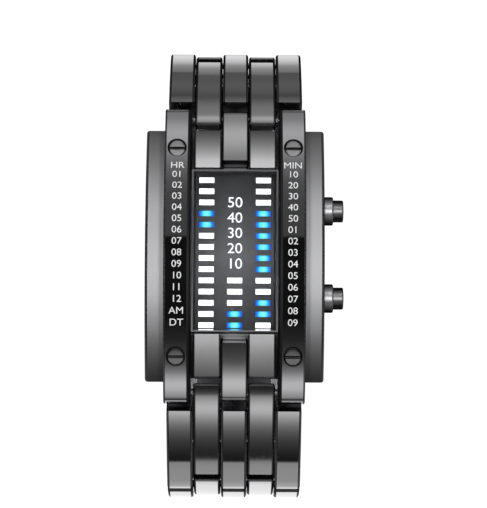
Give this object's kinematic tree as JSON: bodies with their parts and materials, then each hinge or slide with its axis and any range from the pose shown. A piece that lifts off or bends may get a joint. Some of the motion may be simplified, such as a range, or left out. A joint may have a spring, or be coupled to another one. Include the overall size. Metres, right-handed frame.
{
  "type": "binary wristwatch",
  "caption": "Rectangular domed wristwatch with a column display of light windows, side pushers and a five-bar steel bracelet closed by a folding clasp.",
  "frame": {"origin": "centre of the case back's outer face, which lies on the wrist", "axes": "+Z out of the dial, +Y towards twelve o'clock, +X towards three o'clock, where the pushers are"},
  "size_m": [0.037, 0.0858, 0.0587],
  "materials": {
    "case_steel": "black-plated, fine lengthwise brushing, polished bevels",
    "scale_steel": "black-plated, close to polished",
    "link_steel": "black-plated, brushed along the bracelet",
    "clasp_steel": "black-plated, brushed",
    "blade_steel": "bare brushed spring steel",
    "back_steel": "bare brushed steel",
    "polished_steel": "polished, thinly plated",
    "pin_steel": "ground",
    "spring_steel": "drawn wire",
    "crystal_glass": "clear mineral glass",
    "black_rubber": "matt",
    "mask_plastic": "matt dark grey",
    "lens_plastic": "milky diffusing plastic, some lit blue",
    "circuit_board": "solder resist",
    "chip_plastic": "moulded epoxy",
    "cell_steel": "nickel-plated",
    "holder_plastic": "moulded black",
    "spring_brass": "plated spring strip"
  },
  "bodies": {
    "case": {"case_middle": "case_steel", "hour_scale_bar": "scale_steel", "minute_scale_bar": "scale_steel", "scale_bar_screws": "polished_steel", "upper_end_blocks": "case_steel", "lower_end_blocks": "case_steel", "upper_centre_lug": "case_steel", "lower_centre_lug": "case_steel", "upper_lug_pin": "pin_steel", "lower_lug_pin": "pin_steel", "display_bezel": "polished_steel", "crystal": "crystal_glass", "crystal_gasket": "black_rubber", "light_mask": "mask_plastic", "led_lenses": "lens_plastic", "led_board": "circuit_board", "led_chips": "lens_plastic", "controller_chip": "chip_plastic", "quartz_oscillator": "polished_steel", "button_cells": "cell_steel", "module_holder": "holder_plastic", "battery_contact": "spring_brass", "case_back": "back_steel", "case_back_gasket": "black_rubber", "case_back_screws": "polished_steel", "pusher_tubes": "case_steel", "upper_pusher_seal": "black_rubber", "lower_pusher_seal": "black_rubber", "upper_pusher_spring": "spring_steel", "lower_pusher_spring": "spring_steel"},
    "upper_pusher": {"upper_pusher": "polished_steel", "upper_pusher_clip": "pin_steel"},
    "lower_pusher": {"lower_pusher": "polished_steel", "lower_pusher_clip": "pin_steel"},
    "upper_link_1": {"upper_link_1_outer_bars": "link_steel", "upper_link_1_inner_bars": "link_steel", "upper_link_1_pins": "pin_steel"},
    "upper_link_2": {"upper_link_2_outer_bars": "link_steel", "upper_link_2_inner_bars": "link_steel", "upper_link_2_pins": "pin_steel"},
    "upper_link_3": {"upper_link_3_outer_bars": "link_steel", "upper_link_3_inner_bars": "link_steel", "upper_link_3_pins": "pin_steel"},
    "lower_link_1": {"lower_link_1_outer_bars": "link_steel", "lower_link_1_inner_bars": "link_steel", "lower_link_1_pins": "pin_steel"},
    "lower_link_2": {"lower_link_2_outer_bars": "link_steel", "lower_link_2_inner_bars": "link_steel", "lower_link_2_pins": "pin_steel"},
    "lower_link_3": {"lower_link_3_outer_bars": "link_steel", "lower_link_3_inner_bars": "link_steel", "lower_link_3_pins": "pin_steel"},
    "clasp_cover": {"clasp_cover": "clasp_steel", "clasp_fold_pin": "pin_steel"},
    "clasp_middle_blade": {"clasp_middle_blade": "blade_steel", "clasp_blade_pin": "pin_steel"},
    "clasp_inner_blade": {"clasp_inner_blade": "blade_steel"}
  },
  "joints": [
    {"name": "upper_pusher_press", "type": "slide", "parent": "case", "child": "upper_pusher", "axis": [-1, 0, 0], "range_m": [0, 0.0009], "stiffness_N_per_m": 300, "springref_m": -0.001, "deforming": ["upper_pusher_spring"]},
    {"name": "lower_pusher_press", "type": "slide", "parent": "case", "child": "lower_pusher", "axis": [-1, 0, 0], "range_m": [0, 0.0009], "stiffness_N_per_m": 300, "springref_m": -0.001, "deforming": ["lower_pusher_spring"]},
    {"name": "upper_lug_hinge", "type": "hinge", "parent": "case", "child": "upper_link_1", "pos_m": [0, 0.0256, 0.00235], "axis": [1, 0, 0], "range_deg": [0, 29.7]},
    {"name": "upper_link_hinge_1", "type": "hinge", "parent": "upper_link_1", "child": "upper_link_2", "pos_m": [0, 0.03918, -0.01273], "axis": [1, 0, 0], "range_deg": [-25, 0]},
    {"name": "upper_link_hinge_2", "type": "hinge", "parent": "upper_link_2", "child": "upper_link_3", "pos_m": [0, 0.03671, -0.03288], "axis": [1, 0, 0], "range_deg": [-11.9, 0]},
    {"name": "clasp_cover_hinge", "type": "hinge", "parent": "upper_link_3", "child": "clasp_cover", "pos_m": [0, 0.01879, -0.04241], "axis": [1, 0, 0], "range_deg": [0, 5]},
    {"name": "clasp_fold", "type": "hinge", "parent": "clasp_cover", "child": "clasp_middle_blade", "pos_m": [0, -0.01905, -0.04386], "axis": [1, 0, 0], "range_deg": [0, 60]},
    {"name": "lower_lug_hinge", "type": "hinge", "parent": "case", "child": "lower_link_1", "pos_m": [0, -0.0256, 0.00235], "axis": [1, 0, 0], "range_deg": [-8.8, 0]},
    {"name": "lower_link_hinge_1", "type": "hinge", "parent": "lower_link_1", "child": "lower_link_2", "pos_m": [0, -0.04069, -0.01123], "axis": [1, 0, 0], "range_deg": [0, 25]},
    {"name": "lower_link_hinge_2", "type": "hinge", "parent": "lower_link_2", "child": "lower_link_3", "pos_m": [0, -0.04069, -0.03153], "axis": [1, 0, 0], "range_deg": [0, 0.301]},
    {"name": "clasp_blade_hinge", "type": "hinge", "parent": "lower_link_3", "child": "clasp_inner_blade", "pos_m": [0, -0.02355, -0.04241], "axis": [1, 0, 0], "range_deg": [0, 38.6]}
  ],
  "couplings": [
    {"joint": "upper_link_hinge_1", "follows": "upper_lug_hinge", "ratio": -0.84175},
    {"joint": "upper_link_hinge_2", "follows": "upper_lug_hinge", "ratio": -0.40067},
    {"joint": "clasp_cover_hinge", "follows": "upper_lug_hinge", "ratio": 0.16835},
    {"joint": "clasp_fold", "follows": "upper_lug_hinge", "ratio": 2.0202},
    {"joint": "lower_lug_hinge", "follows": "upper_lug_hinge", "ratio": -0.2963},
    {"joint": "lower_link_hinge_1", "follows": "upper_lug_hinge", "ratio": 0.84175},
    {"joint": "lower_link_hinge_2", "follows": "upper_lug_hinge", "ratio": 0.010101},
    {"joint": "clasp_blade_hinge", "follows": "upper_lug_hinge", "ratio": 1.2997}
  ]
}
